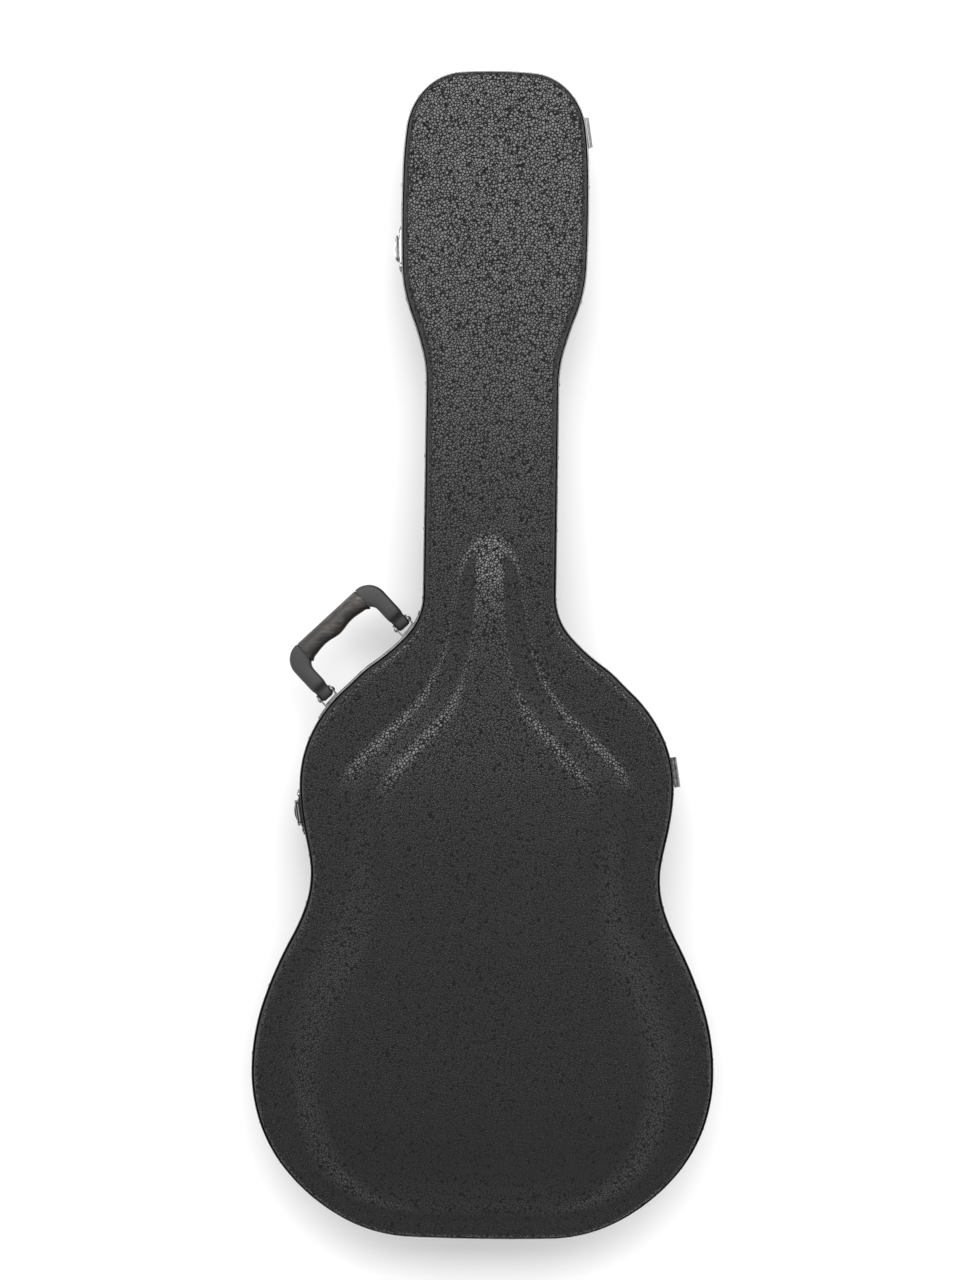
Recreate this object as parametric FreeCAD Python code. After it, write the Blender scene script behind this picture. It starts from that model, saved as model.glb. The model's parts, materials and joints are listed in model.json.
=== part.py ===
import FreeCAD, Part
import math
import os
from FreeCAD import Vector

os.makedirs("parts", exist_ok=True)

# Hard-shell case for an acoustic guitar, millimetres.
# Modelling frame: X across the case (latches and handle on -X, hinges on +X), Y along it, measured as
# "stations" from the butt end to the head end, Z up from the flat back. save() moves the origin to the
# middle of the back.

# Driving dimensions
LENGTH = 1120.0            # butt end to head end, over the valance
PART_Z = 100.0             # parting plane, where lid and base meet
LID_TOP_Z = 136.0          # flat top of the lid, without its crown
JOINT_GAP = 0.15           # each rim stands this far from the parting plane
WALL = 2.8                 # moulded sheet
BASE_DRAFT = 6.5           # how far the base walls lean in over their height
LID_DRAFT = 2.2            # the same for the lid
BACK_RADIUS = 12.0         # rounding where the back meets the walls
TOP_RADIUS = 5.0           # rounding where the top meets the walls

# Half of the rim: half-width, station, heading in degrees (0 is +X, 90 is +Y)
RIM = [
    (0.0, 0.0, 0), (131.5, 18.0, 28), (187.0, 63.0, 50), (221.5, 160.0, 90),
    (184.5, 288.0, 118), (167.5, 347.0, 90), (172.5, 381.0, 77), (179.5, 434.0, 90),
    (138.5, 525.0, 137), (110.0, 551.0, 145), (64.0, 617.0, 90), (64.0, 819.0, 90),
    (79.5, 886.0, 69), (90.0, 983.0, 90), (86.5, 1065.0, 97), (65.0, 1106.0, 139),
    (0.0, LENGTH, 180),
]

# Crown of the lid: station, half-width, width of its flank, height over the flat top
CROWN = [
    (24, 96, 60, 0.3), (40, 134, 48, 3.6), (66, 164, 46, 8.0), (110, 186, 48, 11.2),
    (165, 195, 50, 12.0), (230, 180, 50, 12.0), (300, 152, 50, 12.0), (350, 143, 50, 12.0),
    (400, 148, 56, 11.8), (440, 144, 62, 11.2), (475, 114, 60, 10.2), (510, 76, 48, 9.2),
    (560, 48, 34, 8.2), (610, 36, 26, 6.8), (645, 29, 20, 4.6), (668, 16, 13, 0.4),
]

# Valance: the two aluminium extrusions round the rim
LIP = 2.1
LIP_HEIGHT = 11.0
WEB = 1.5
SHELL_INSET = 2.3          # outer face of the moulded wall, inside the rim
INNER_LIP = 5.3            # where the inner lip starts
INNER_LIP_END = 6.6
TONGUE = 6.9               # locating tongue of the base valance
TONGUE_END = 8.2
TONGUE_RISE = 3.0

# Lining
FOAM_INSET = 24.0          # from the rim to the plush of the base
LID_FOAM_INSET = 16.0
FLOOR_FOAM = 8.0
LID_PAD = 7.0
PLUSH = 2.0
SKIN_GAP = 0.1             # between a foam insert and the shell round it
NECK_START = 600.0         # from here on the floor and the lid carry plush without foam

# Accessory compartment in the neck
CRADLE = (622.0, 646.0)
REST = (808.0, 832.0)
CRADLE_TOP = 90.0
NOTCH_HALF_WIDTH = 27.0
NOTCH_DEPTH = 10.0
FLAP_Z = 56.0
FLAP_THICKNESS = 3.0
FLAP_WIDTH = 69.0

# Hinges, on one straight axis that also touches the rim at the lower bout
HINGES = [("upper_bout", 450.0), ("head", 1063.0)]
HINGE_AXIS = ((221.7, 190.0), (88.95, 1063.0))
HINGE_LENGTH = 29.0
KNUCKLE_RADIUS = 1.75
PIN_RADIUS = 0.9
LEAF = 1.0
LEAF_HEIGHT = 10.0
RUNNING = 0.05             # radial clearance of a pin in its hole
KNUCKLE_GAP = 0.3

# Rivets that hold the lips to the shells
RIVET_STATIONS = (30, 70, 108, 175, 240, 320, 365, 478, 614, 680, 750, 820, 900, 1010, 1095)

# Draw latches: name and station on the latch side
LATCHES = [("head", 949.0), ("upper_bout", 406.0)]
PLATE = 1.2
PLATE_HALF_LENGTH = 22.0
PLATE_Z = (-38.0, -1.6)
LEVER_HALF_WIDTH = 10.4
LEVER_SHEET = 1.3
LEVER_TOP = 7.4            # crown of the domed lever over the rim
LEVER_SIDE = 4.6
LEVER_Z = (-36.0, -9.5)
PIVOT = (4.0, -9.0)        # lever pivot: outward from the rim, up from the parting plane
PIVOT_RADIUS = 1.0
BAIL_EYE = (3.0, -16.0)    # bail pivot in the lever
BAIL_WIRE = 0.8
BAIL_HALF_WIDTH = 11.6
BAIL_BAR = (4.4, 6.5)      # cross bar at the keeper
BAIL_BEND = 2.5

# Handle, in its own frame: along the shoulder, outward, up, from the middle of the two pivots
HANDLE_CENTRE = (-119.7, 553.7)
HANDLE_HEADING = 43.5      # direction of the pivot line, degrees from +X
HANDLE_Z = PART_Z - 15.0
PIVOT_SPAN = 50.0
HANDLE_HALF_WIDTH = 58.0
HANDLE_REACH = 55.0
ARM_WIDTH = 16.0
ARM_DEPTH = 14.0
TIP_HALF_WIDTH = 6.6
TIP_RADIUS = 4.2
TIP_LENGTH = 9.5           # from the pivot to the arm's full section
GRIP_HALF_LENGTH = 38.5
GRIP_RADIUS = 10.8
HANDLE_PIN = 1.9
BRACKET_SHEET = 1.5
BOSS_DROP = 40.0

UP = Vector(0, 0, 1)


# Rim geometry: a chain of tangent arcs
def direction(heading):
    angle = math.radians(heading)
    return Vector(math.cos(angle), math.sin(angle), 0)


def middle_joint(start, end):
    """Where the two tangent arcs between two rim points meet, with the heading there."""
    first = Vector(start[0], start[1], 0)
    last = Vector(end[0], end[1], 0)
    leave, arrive = direction(start[2]), direction(end[2])
    gap = first - last
    square = 2 * (leave.dot(arrive) - 1)
    linear = 2 * gap.dot(leave + arrive)
    reach = (-linear - math.sqrt(linear ** 2 - 4 * square * gap.dot(gap))) / (2 * square)
    if reach < 0:
        reach = (-linear + math.sqrt(linear ** 2 - 4 * square * gap.dot(gap))) / (2 * square)
    joint = (first + leave * reach + last - arrive * reach) * 0.5
    chord = joint - first
    heading = 2 * math.degrees(math.atan2(chord.y, chord.x)) - start[2]
    return joint.x, joint.y, heading


def rim_joints():
    """Every joint of the right half of the rim, from the butt end to the head end."""
    joints = [RIM[0]]
    for start, end in zip(RIM, RIM[1:]):
        if start[2] != end[2]:
            joints.append(middle_joint(start, end))
        joints.append(end)
    return joints


JOINTS = rim_joints()


def inset_joint(joint, inset):
    inward = UP.cross(direction(joint[2]))
    return Vector(joint[0], joint[1], 0) + inward * inset


def arc_middle(start, end, turn, heading):
    """The middle of an arc from its ends, its turn and its first heading."""
    chord = (end - start).Length
    return start + direction(heading + turn / 4) * (chord / (2 * math.cos(math.radians(turn / 4))))


def outline(inset, z):
    """The closed rim outline, moved inwards by inset, at height z."""
    right = []
    for start, end in zip(JOINTS, JOINTS[1:]):
        turn = end[2] - start[2]
        a, b = inset_joint(start, inset), inset_joint(end, inset)
        middle = None if abs(turn) < 1e-6 else arc_middle(a, b, turn, start[2])
        right.append((a, middle, b))
    left = [(mirror_x(b), m and mirror_x(m), mirror_x(a)) for a, m, b in reversed(right)]
    edges = []
    for a, middle, b in right + left:
        a, b = Vector(a.x, a.y, z), Vector(b.x, b.y, z)
        if middle is None:
            edges.append(Part.makeLine(a, b))
        else:
            edges.append(Part.Arc(a, Vector(middle.x, middle.y, z), b).toShape())
    return Part.Wire(edges)


def mirror_x(point):
    return Vector(-point.x, point.y, point.z)


def rim_point(station):
    """The rim at a station on the right side: half-width and heading."""
    for start, end in zip(JOINTS, JOINTS[1:]):
        if start[1] <= station <= end[1]:
            break
    turn = end[2] - start[2]
    if abs(turn) < 1e-6:
        return start[0], start[2]
    low, high = 0.0, 1.0
    a, b = inset_joint(start, 0), inset_joint(end, 0)
    for _ in range(50):
        share = (low + high) / 2
        heading = start[2] + turn * share
        chord = 2 * math.sin(math.radians(turn * share / 2)) * arc_radius(a, b, turn)
        point = a + direction(start[2] + turn * share / 2) * chord
        if point.y < station:
            low = share
        else:
            high = share
    return point.x, heading


def arc_radius(start, end, turn):
    return (end - start).Length / (2 * math.sin(math.radians(turn / 2)))


# Solid helpers
def slab(inset, low, high):
    """A flat-sided solid of the rim outline."""
    return Part.Face(outline(inset, low)).extrude(UP * (high - low))


def ring(outer, inner, low, high):
    return slab(outer, low, high).cut(slab(inner, low, high))


def box(x, y, z):
    """A box from three (low, high) pairs."""
    return Part.makeBox(x[1] - x[0], y[1] - y[0], z[1] - z[0], Vector(x[0], y[0], z[0]))


def fuse(shapes):
    whole = shapes[0]
    for shape in shapes[1:]:
        whole = whole.fuse(shape)
    return whole.removeSplitter()


def tray(inset, flat_z, band_z, open_z, draft, radius):
    """A closed tray form: flat end, leaning wall, straight band at the rim."""
    walls = [outline(inset + draft, flat_z), outline(inset, band_z), outline(inset, open_z)]
    form = Part.makeLoft(walls, True, True)
    edges = [e for e in form.Edges if abs(e.BoundBox.ZMin - flat_z) + abs(e.BoundBox.ZMax - flat_z) < 0.01]
    return form.makeFillet(radius, edges)


def crown_section(station, half_width, flank, height, base_z):
    """One closed cross-section of the crown: a straight foot under a soft-shouldered arch."""
    left, right = Vector(-half_width, station, base_z), Vector(half_width, station, base_z)
    shoulder = half_width - flank
    profile = [(flank * share, rise) for share, rise in ((0.25, 0.16), (0.5, 0.5), (0.75, 0.82), (1.0, 0.94))]
    profile += [(flank + shoulder * share, rise) for share, rise in ((0.4, 0.975), (1.0, 1.0))]
    arch = [left]
    for across, rise in profile:
        arch.append(Vector(across - half_width, station, base_z + 1.0 + rise * height))
    arch += [mirror_x(point) for point in reversed(arch[:-1])]
    curve = Part.BSplineCurve()
    curve.interpolate(arch)
    return Part.Wire([Part.makeLine(left, right), curve.toShape()])


def crown(top_z):
    """The arched part of the lid over the flat top at top_z; its foot lies 1 mm under it."""
    return Part.makeLoft([crown_section(*row, top_z - 1.0) for row in CROWN], True, False)


def base_form(inset, floor_z, top_z):
    lean = BASE_DRAFT * (1 - floor_z / PART_Z)
    radius = max(BACK_RADIUS - floor_z, 3.0)
    return tray(SHELL_INSET + inset, floor_z, PART_Z - LIP_HEIGHT - 1, top_z, lean, radius)


def lid_form(inset, drop, bottom_z):
    """The space of the lid, with walls moved in by inset and the top lowered by drop."""
    top = LID_TOP_Z - drop
    radius = max(TOP_RADIUS - drop, 2.0)
    body = tray(SHELL_INSET + inset, top, PART_Z + LIP_HEIGHT + 1, bottom_z, LID_DRAFT, radius)
    return body.fuse(crown(top))


# Shells and valance
def boss(frame, half_length, low):
    """A moulded flat that backs a fitting under the base valance."""
    block = box((-half_length, half_length), (-9, 3), (low, -LIP_HEIGHT - 0.2))
    block.Placement = frame
    return block.common(slab(0.1, PART_Z + low, PART_Z - LIP_HEIGHT - 0.2))


def base_shell():
    edge = PART_Z - JOINT_GAP - WEB - 0.05
    outer = base_form(0, 0, edge)
    bosses = [boss(latch_frame(station), PLATE_HALF_LENGTH + 2, PLATE_Z[0] - 2) for _, station in LATCHES]
    bosses.append(boss(handle_rim_frame(), 74, -BOSS_DROP + 4))
    for pad in bosses:
        outer = outer.fuse(pad)
    return outer.cut(base_form(WALL, WALL, edge))


def lid_shell():
    edge = PART_Z + JOINT_GAP + WEB + 0.05
    return lid_form(0, 0, edge).cut(lid_form(WALL, WALL, edge))


def base_valance():
    top = PART_Z - JOINT_GAP
    return fuse([
        ring(0, LIP, PART_Z - LIP_HEIGHT, top),
        ring(0, TONGUE_END, top - WEB, top),
        ring(INNER_LIP, INNER_LIP_END, PART_Z - LIP_HEIGHT + 2, top),
        ring(TONGUE, TONGUE_END, top - WEB, PART_Z + TONGUE_RISE),
    ])


def lid_valance():
    low = PART_Z + JOINT_GAP
    return fuse([
        ring(0, LIP, low, PART_Z + LIP_HEIGHT),
        ring(0, INNER_LIP_END, low, low + WEB),
        ring(INNER_LIP, INNER_LIP_END, low, PART_Z + LIP_HEIGHT - 2),
    ])


# Lining
def base_cavity(inset, floor_z, neck_floor_z, top_z):
    """The room for the instrument: deep foam floor under the body, a lower floor in the neck."""
    whole = slab(inset, neck_floor_z, top_z)
    fill = box((-240, 240), (-10, NECK_START), (neck_floor_z - 1, floor_z))
    return whole.cut(fill)


def base_foam():
    top = PART_Z - LIP_HEIGHT
    outer = base_form(WALL + SKIN_GAP, WALL + SKIN_GAP, top)
    return outer.cut(base_cavity(FOAM_INSET, WALL + FLOOR_FOAM, WALL + 1.5, top + 1))


def base_lining():
    """Plush over the foam: floor, sides and a flange over the foam's top edge."""
    foam_top = PART_Z - LIP_HEIGHT
    top = foam_top + PLUSH
    outer = base_cavity(FOAM_INSET + 0.1, WALL + FLOOR_FOAM + 0.1, WALL + 1.6, top)
    inner = base_cavity(FOAM_INSET + PLUSH, WALL + FLOOR_FOAM + PLUSH, WALL + 1.5 + PLUSH, top + 1)
    flange = ring(INNER_LIP_END + 2.2, FOAM_INSET + 1, foam_top + 0.1, top)
    return fuse([outer.cut(inner), flange])


def lid_room(inset, drop, neck_drop):
    """The hollow of the lid inside its lining: padded over the body, plush only over the neck."""
    low = PART_Z + LIP_HEIGHT
    body = slab(inset, low - 1, LID_TOP_Z - drop).fuse(crown(LID_TOP_Z - drop))
    neck = slab(inset, low - 1, LID_TOP_Z - neck_drop)
    neck = neck.common(box((-240, 240), (NECK_START, LENGTH), (low - 1, LID_TOP_Z)))
    return body.fuse(neck)


def lid_foam():
    low = PART_Z + LIP_HEIGHT
    outer = lid_form(WALL + SKIN_GAP, WALL + SKIN_GAP, low)
    return outer.cut(lid_room(LID_FOAM_INSET, WALL + LID_PAD, WALL + 1.0))


def lid_lining():
    low = PART_Z + LIP_HEIGHT
    outer = lid_room(LID_FOAM_INSET + 0.1, WALL + LID_PAD + 0.1, WALL + 1.1)
    keep = box((-240, 240), (-10, LENGTH + 10), (low - PLUSH, LID_TOP_Z + 20))
    inner = lid_room(LID_FOAM_INSET + PLUSH, WALL + LID_PAD + PLUSH, WALL + 1.0 + PLUSH)
    flange = ring(INNER_LIP_END + 1.6, LID_FOAM_INSET + 1, low - PLUSH, low - 0.1)
    hole = slab(LID_FOAM_INSET + PLUSH, low - PLUSH - 1, low + 1)
    return fuse([outer.common(keep).cut(inner).cut(hole), flange])


# Accessory compartment
def neck_block(stations, floor_z):
    """A plush block across the neck channel with a notch for the instrument's neck."""
    half = 64.0 - FOAM_INSET - PLUSH - 0.3
    middle = box((-half, half), stations, (floor_z, CRADLE_TOP))
    rim_side = slab(FOAM_INSET + PLUSH + 0.3, floor_z - 1, CRADLE_TOP + 1)
    notch = box((-NOTCH_HALF_WIDTH, NOTCH_HALF_WIDTH), (stations[0] - 1, stations[1] + 1),
                (CRADLE_TOP - NOTCH_DEPTH, CRADLE_TOP + 1))
    along = [e for e in notch.Edges if abs(e.BoundBox.YLength) > 5 and e.BoundBox.ZMax < CRADLE_TOP]
    return middle.common(rim_side).cut(notch.makeFillet(6.0, along))


def neck_cradle():
    return neck_block(CRADLE, WALL + 1.5 + PLUSH + 0.2)


def nut_rest():
    return neck_block(REST, WALL + 1.5 + PLUSH + 0.2)


def compartment_flap():
    """The flap of the compartment; its cloth hinge runs along the +X side."""
    y = (CRADLE[1] + 1.5, REST[0] - 1.5)
    flap = box((FLAP_X[0], FLAP_X[1]), y, (FLAP_Z, FLAP_Z + FLAP_THICKNESS))
    corners = [e for e in flap.Edges if e.BoundBox.ZLength > 1 and e.BoundBox.XMax < 0]
    flap = flap.makeFillet(8.0, corners)
    skin = box((FLAP_X[1] - 1, FLAP_AXIS[0]), (y[0] + 8, y[1] - 8), (FLAP_AXIS[1] - 0.2, FLAP_AXIS[1] + 0.2))
    bead = rod((FLAP_AXIS[0], y[0] + 8, FLAP_AXIS[1]), (0, 1, 0), y[1] - y[0] - 16, 0.5)
    return fuse([flap, skin, bead])


FLAP_X = (35.0 - FLAP_WIDTH, 35.0)
FLAP_AXIS = (36.2, FLAP_Z + FLAP_THICKNESS - 0.5)


def flap_hinge_tape():
    """Cloth tape on the channel wall that the flap hangs on."""
    return box((37.0, 37.8), (CRADLE[1] + 3, REST[0] - 3), (FLAP_Z - 12, FLAP_Z + FLAP_THICKNESS))


def flap_ledge():
    """Plush-covered ledge under the free edge of the flap."""
    edge = 64.0 - FOAM_INSET - PLUSH - 0.2
    return box((-edge, -edge + 7), (CRADLE[1] + 0.5, REST[0] - 0.5), (FLAP_Z - 9, FLAP_Z - 0.3))


def flap_tab():
    """Ribbon loop that lifts the flap."""
    middle = (CRADLE[1] + REST[0]) / 2
    z = FLAP_Z + FLAP_THICKNESS + 0.1
    return box((FLAP_X[0] + 3, FLAP_X[0] + 24), (middle - 9, middle + 9), (z, z + 1.6))


# Frames on the rim: local X along the rim, Y outward, Z up from the parting plane
def frame_at(x, y, outward, z):
    along = outward.cross(UP)
    turn = FreeCAD.Rotation(along, outward, UP, "ZXY")
    return FreeCAD.Placement(Vector(x, y, z), turn)


def latch_frame(station):
    half_width, heading = rim_point(station)
    angle = math.radians(heading)
    return frame_at(-half_width, station, Vector(-math.sin(angle), -math.cos(angle), 0), PART_Z)


def handle_frame():
    outward = direction(HANDLE_HEADING + 90)
    return frame_at(HANDLE_CENTRE[0], HANDLE_CENTRE[1], outward, HANDLE_Z)


def handle_rim_frame():
    """The handle's frame at the height of the parting plane, on the rim itself."""
    outward = direction(HANDLE_HEADING + 90)
    foot = Vector(HANDLE_CENTRE[0], HANDLE_CENTRE[1], 0) - outward * 9.0
    return frame_at(foot.x, foot.y, outward, PART_Z)


def placed(shape, frame):
    shape.Placement = frame.multiply(shape.Placement)
    return shape


def rod(start, along, length, radius):
    return Part.makeCylinder(radius, length, Vector(*start), Vector(*along))


def rivet(x, z, face, radius=2.5, rise=1.1):
    """A low, faceted rivet head standing on the plane Y = face."""
    sides = 16
    levels = ((0.0, 1.0), (0.55, 0.86), (1.0, 0.5))
    wires = []
    for height, share in levels:
        corners = []
        for side in range(sides + 1):
            angle = 2 * math.pi * (side % sides) / sides
            reach = radius * share
            corners.append(Vector(x + reach * math.cos(angle), face + rise * height, z + reach * math.sin(angle)))
        wires.append(Part.makePolygon(corners))
    return Part.makeLoft(wires, True, True)


# Latches
def latch_plate():
    plate = box((-PLATE_HALF_LENGTH, PLATE_HALF_LENGTH), (0.05, PLATE), PLATE_Z)
    corners = [e for e in plate.Edges if e.BoundBox.YLength > 0.5 and e.BoundBox.ZLength < 0.1
               and e.BoundBox.XLength < 0.1]
    parts = [plate.makeFillet(5.0, corners)]
    for side in (-1, 1):
        low = 8.0 * side - 0.6
        ear = box((low, low + 1.2), (PLATE - 0.1, PIVOT[0]), (PIVOT[1] - 2.0, PIVOT[1] + 2.0))
        ear = ear.fuse(rod((low, *PIVOT), (1, 0, 0), 1.2, 2.0))
        parts.append(ear.cut(rod((low - 1, *PIVOT), (1, 0, 0), 4, PIVOT_RADIUS)))
    return fuse(parts)


def latch_pivots():
    studs = []
    for side in (-1, 1):
        start = (7.1 * side, *PIVOT)
        studs.append(rod(start, (side, 0, 0), LEVER_HALF_WIDTH - 7.1, PIVOT_RADIUS))
    return Part.makeCompound(studs)


def dome(half_width, side, top, foot, low, high):
    """A bar with an arched back, running along Z."""
    corners = [Vector(-half_width, foot, low), Vector(-half_width, side, low),
               Vector(half_width, side, low), Vector(half_width, foot, low)]
    edges = [Part.makeLine(corners[0], corners[1]),
             Part.Arc(corners[1], Vector(0, top, low), corners[2]).toShape(),
             Part.makeLine(corners[2], corners[3]), Part.makeLine(corners[3], corners[0])]
    return Part.Face(Part.Wire(edges)).extrude(UP * (high - low))


def latch_lever():
    inner = LEVER_HALF_WIDTH - LEVER_SHEET
    shell = dome(LEVER_HALF_WIDTH, LEVER_SIDE, LEVER_TOP, PLATE + 0.4, *LEVER_Z)
    ends = [e for e in shell.Edges if e.BoundBox.ZMax < LEVER_Z[0] + 0.1 and e.BoundBox.XLength > 15
            and e.BoundBox.YLength > 1]
    shell = shell.makeFillet(2.2, ends)
    for side in (-1, 1):
        start = LEVER_HALF_WIDTH if side > 0 else -inner
        lug = rod((start, *PIVOT), (-1, 0, 0), LEVER_SHEET, 2.1)
        shell = shell.fuse(lug)
    pocket = dome(inner, LEVER_SIDE - 0.7, LEVER_TOP - LEVER_SHEET, PLATE - 1,
                  LEVER_Z[0] + LEVER_SHEET, LEVER_Z[1] + 6)
    holes = [rod((-15, *PIVOT), (1, 0, 0), 30, PIVOT_RADIUS + RUNNING),
             rod((-15, *BAIL_EYE), (1, 0, 0), 30, BAIL_WIRE + RUNNING),
             rod((-8.9, *PIVOT), (1, 0, 0), 1.8, 2.35),
             rod((7.1, *PIVOT), (1, 0, 0), 1.8, 2.35)]
    shell = shell.cut(pocket)
    for hole in holes:
        shell = shell.cut(hole)
    return shell


def latch_bail():
    """A wire loop: eyes in the lever, arms outside it, a cross bar at the keeper."""
    eye, bar = Vector(0, *BAIL_EYE), Vector(0, *BAIL_BAR)
    end = eye + Vector(LEVER_HALF_WIDTH - LEVER_SHEET + 0.1, 0, 0)
    elbow = eye + Vector(BAIL_HALF_WIDTH, 0, 0)
    corner = bar + Vector(BAIL_HALF_WIDTH, 0, 0)
    along_arm = (bar - eye).normalize()
    arm_end = corner - along_arm * BAIL_BEND
    bar_start = corner - Vector(BAIL_BEND, 0, 0)
    bend = Part.Arc(arm_end, corner - (corner * 2 - arm_end - bar_start) * 0.29, bar_start).toShape()
    section = Part.Wire(Part.makeCircle(BAIL_WIRE, arm_end, along_arm))
    half = [
        Part.makeCylinder(BAIL_WIRE, (elbow - end).Length, end, Vector(1, 0, 0)),
        Part.makeSphere(BAIL_WIRE, elbow),
        Part.makeCylinder(BAIL_WIRE, (arm_end - elbow).Length, elbow, along_arm),
        Part.Wire(bend).makePipeShell([section], True, False),
        Part.makeCylinder(BAIL_WIRE, bar_start.x + 0.5, bar_start, Vector(-1, 0, 0)),
    ]
    right_half = fuse(half)
    left_half = right_half.mirror(Vector(0, 0, 0), Vector(1, 0, 0))
    return right_half.fuse(left_half).removeSplitter()


def latch_keeper():
    """Keeper on the lid's lip: a plate with a rolled bead below the bail's bar."""
    plate = box((-14, 14), (0.05, PLATE), (1.0, LIP_HEIGHT - 0.4))
    bead = rod((-8.5, 1.6, 3.6), (1, 0, 0), 17, 1.6)
    return fuse([plate, bead.cut(box((-9, 9), (-3, 0.05), (0, 8)))])


def latch_rivets():
    heads = [rivet(x, z, PLATE + 0.02) for x in (-17.5, 17.5) for z in (-7.0, -32.5)]
    return Part.makeCompound(heads)


def keeper_rivets():
    return Part.makeCompound([rivet(x, 6.4, PLATE + 0.02, 1.7, 0.8) for x in (-11.6, 11.6)])


# Hinges, in a frame whose X is the hinge axis and Y points away from the case
def hinge_frame(station):
    start, end = (Vector(x, y, 0) for x, y in HINGE_AXIS)
    along = (end - start).normalize()
    point = start + along * ((station - start.y) / along.y)
    return frame_at(point.x, point.y, along.cross(UP), PART_Z)


def rim_gap(station):
    """From the hinge axis to the nearest of the rim, near a station."""
    frame = hinge_frame(station)
    line = Part.makeLine(frame.multVec(Vector(-HINGE_LENGTH / 2, 0, 0)),
                         frame.multVec(Vector(HINGE_LENGTH / 2, 0, 0)))
    return line.distToShape(outline(0, PART_Z))[0]


def leaf(gap, upward, knuckles):
    """A hinge leaf on the rim with its knuckles; the other leaf's knuckles get room."""
    half = HINGE_LENGTH / 2
    face = -gap + 0.03
    near, far = (0.5, LEAF_HEIGHT)
    z = (near, far) if upward else (-far, -near)
    plate = box((-half, half), (face, face + LEAF), z)
    reach = box((-half, half), (face, -KNUCKLE_RADIUS * 0.6), (z[0], z[0] + 1.2) if upward
                else (z[1] - 1.2, z[1]))
    solid = plate.fuse(reach)
    room = KNUCKLE_RADIUS + KNUCKLE_GAP
    third = HINGE_LENGTH / 3
    for index in range(3):
        low = -half + index * third
        if index in knuckles:
            low, length = low + 0.1, third - 0.2
            solid = solid.fuse(rod((low, 0, 0), (1, 0, 0), length, KNUCKLE_RADIUS))
        else:
            solid = solid.cut(rod((low - 0.15, 0, 0), (1, 0, 0), third + 0.3, room))
    return solid.cut(rod((-half - 1, 0, 0), (1, 0, 0), HINGE_LENGTH + 2, PIN_RADIUS + RUNNING))


def hinge_pin():
    half = HINGE_LENGTH / 2
    return rod((-half, 0, 0), (1, 0, 0), HINGE_LENGTH, PIN_RADIUS)


def leaf_rivets(gap, upward):
    z = 6.4 if upward else -6.4
    face = -gap + LEAF + 0.05
    return [rivet(x, z, face, 1.9, 0.8) for x in (-9.5, 9.5)]


# Handle
def handle_plate():
    """The strip under both brackets, following the rim."""
    strip = slab(-1.3, PART_Z - 27, PART_Z - 2.5).cut(slab(-0.05, PART_Z - 28, PART_Z - 1))
    block = box((-71, 71), (-25, 20), (-27, -2.5))
    ends = [e for e in block.Edges if e.BoundBox.YLength > 30]
    return strip.common(placed(block.makeFillet(6.0, ends), handle_rim_frame()))


def handle_bracket(side):
    """A U of sheet steel with the arm's tip between its legs."""
    middle = side * PIVOT_SPAN
    outer = TIP_HALF_WIDTH + 0.4 + BRACKET_SHEET
    block = box((middle - outer, middle + outer), (-14, 5.2), (-7.5, 7.5))
    tips = [e for e in block.Edges if e.BoundBox.XLength > 5 and e.BoundBox.YMin > 5]
    block = block.makeFillet(5.0, tips)
    inner = TIP_HALF_WIDTH + 0.4
    gap = box((middle - inner, middle + inner), (-20, 6), (-9, 9))
    legs = block.cut(gap)
    web = placed(box((middle - outer, middle + outer), (-14, 6), (-7.5, 7.5)), handle_frame())
    web = web.common(slab(-1.35 - BRACKET_SHEET, PART_Z - 40, PART_Z))
    whole = placed(legs, handle_frame()).fuse(web)
    whole = whole.cut(slab(-1.33, PART_Z - 41, PART_Z + 1))
    hole = placed(rod((middle - 20, 0, 0), (1, 0, 0), 40, HANDLE_PIN), handle_frame())
    return whole.cut(hole).removeSplitter()


def handle_pin(side):
    """A pin with a rounded head at each end."""
    middle = side * PIVOT_SPAN
    outer = TIP_HALF_WIDTH + 0.4 + BRACKET_SHEET + 0.05
    pin = rod((middle - outer, 0, 0), (1, 0, 0), 2 * outer, HANDLE_PIN)
    for way in (-1, 1):
        head = Part.makeSphere(3.2, Vector(middle + way * (outer - 1.4), 0, 0))
        start = (middle + way * outer, 0, 0)
        head = head.common(rod(start, (way, 0, 0), 4, 3.2))
        pin = pin.fuse(head)
    return pin


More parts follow.
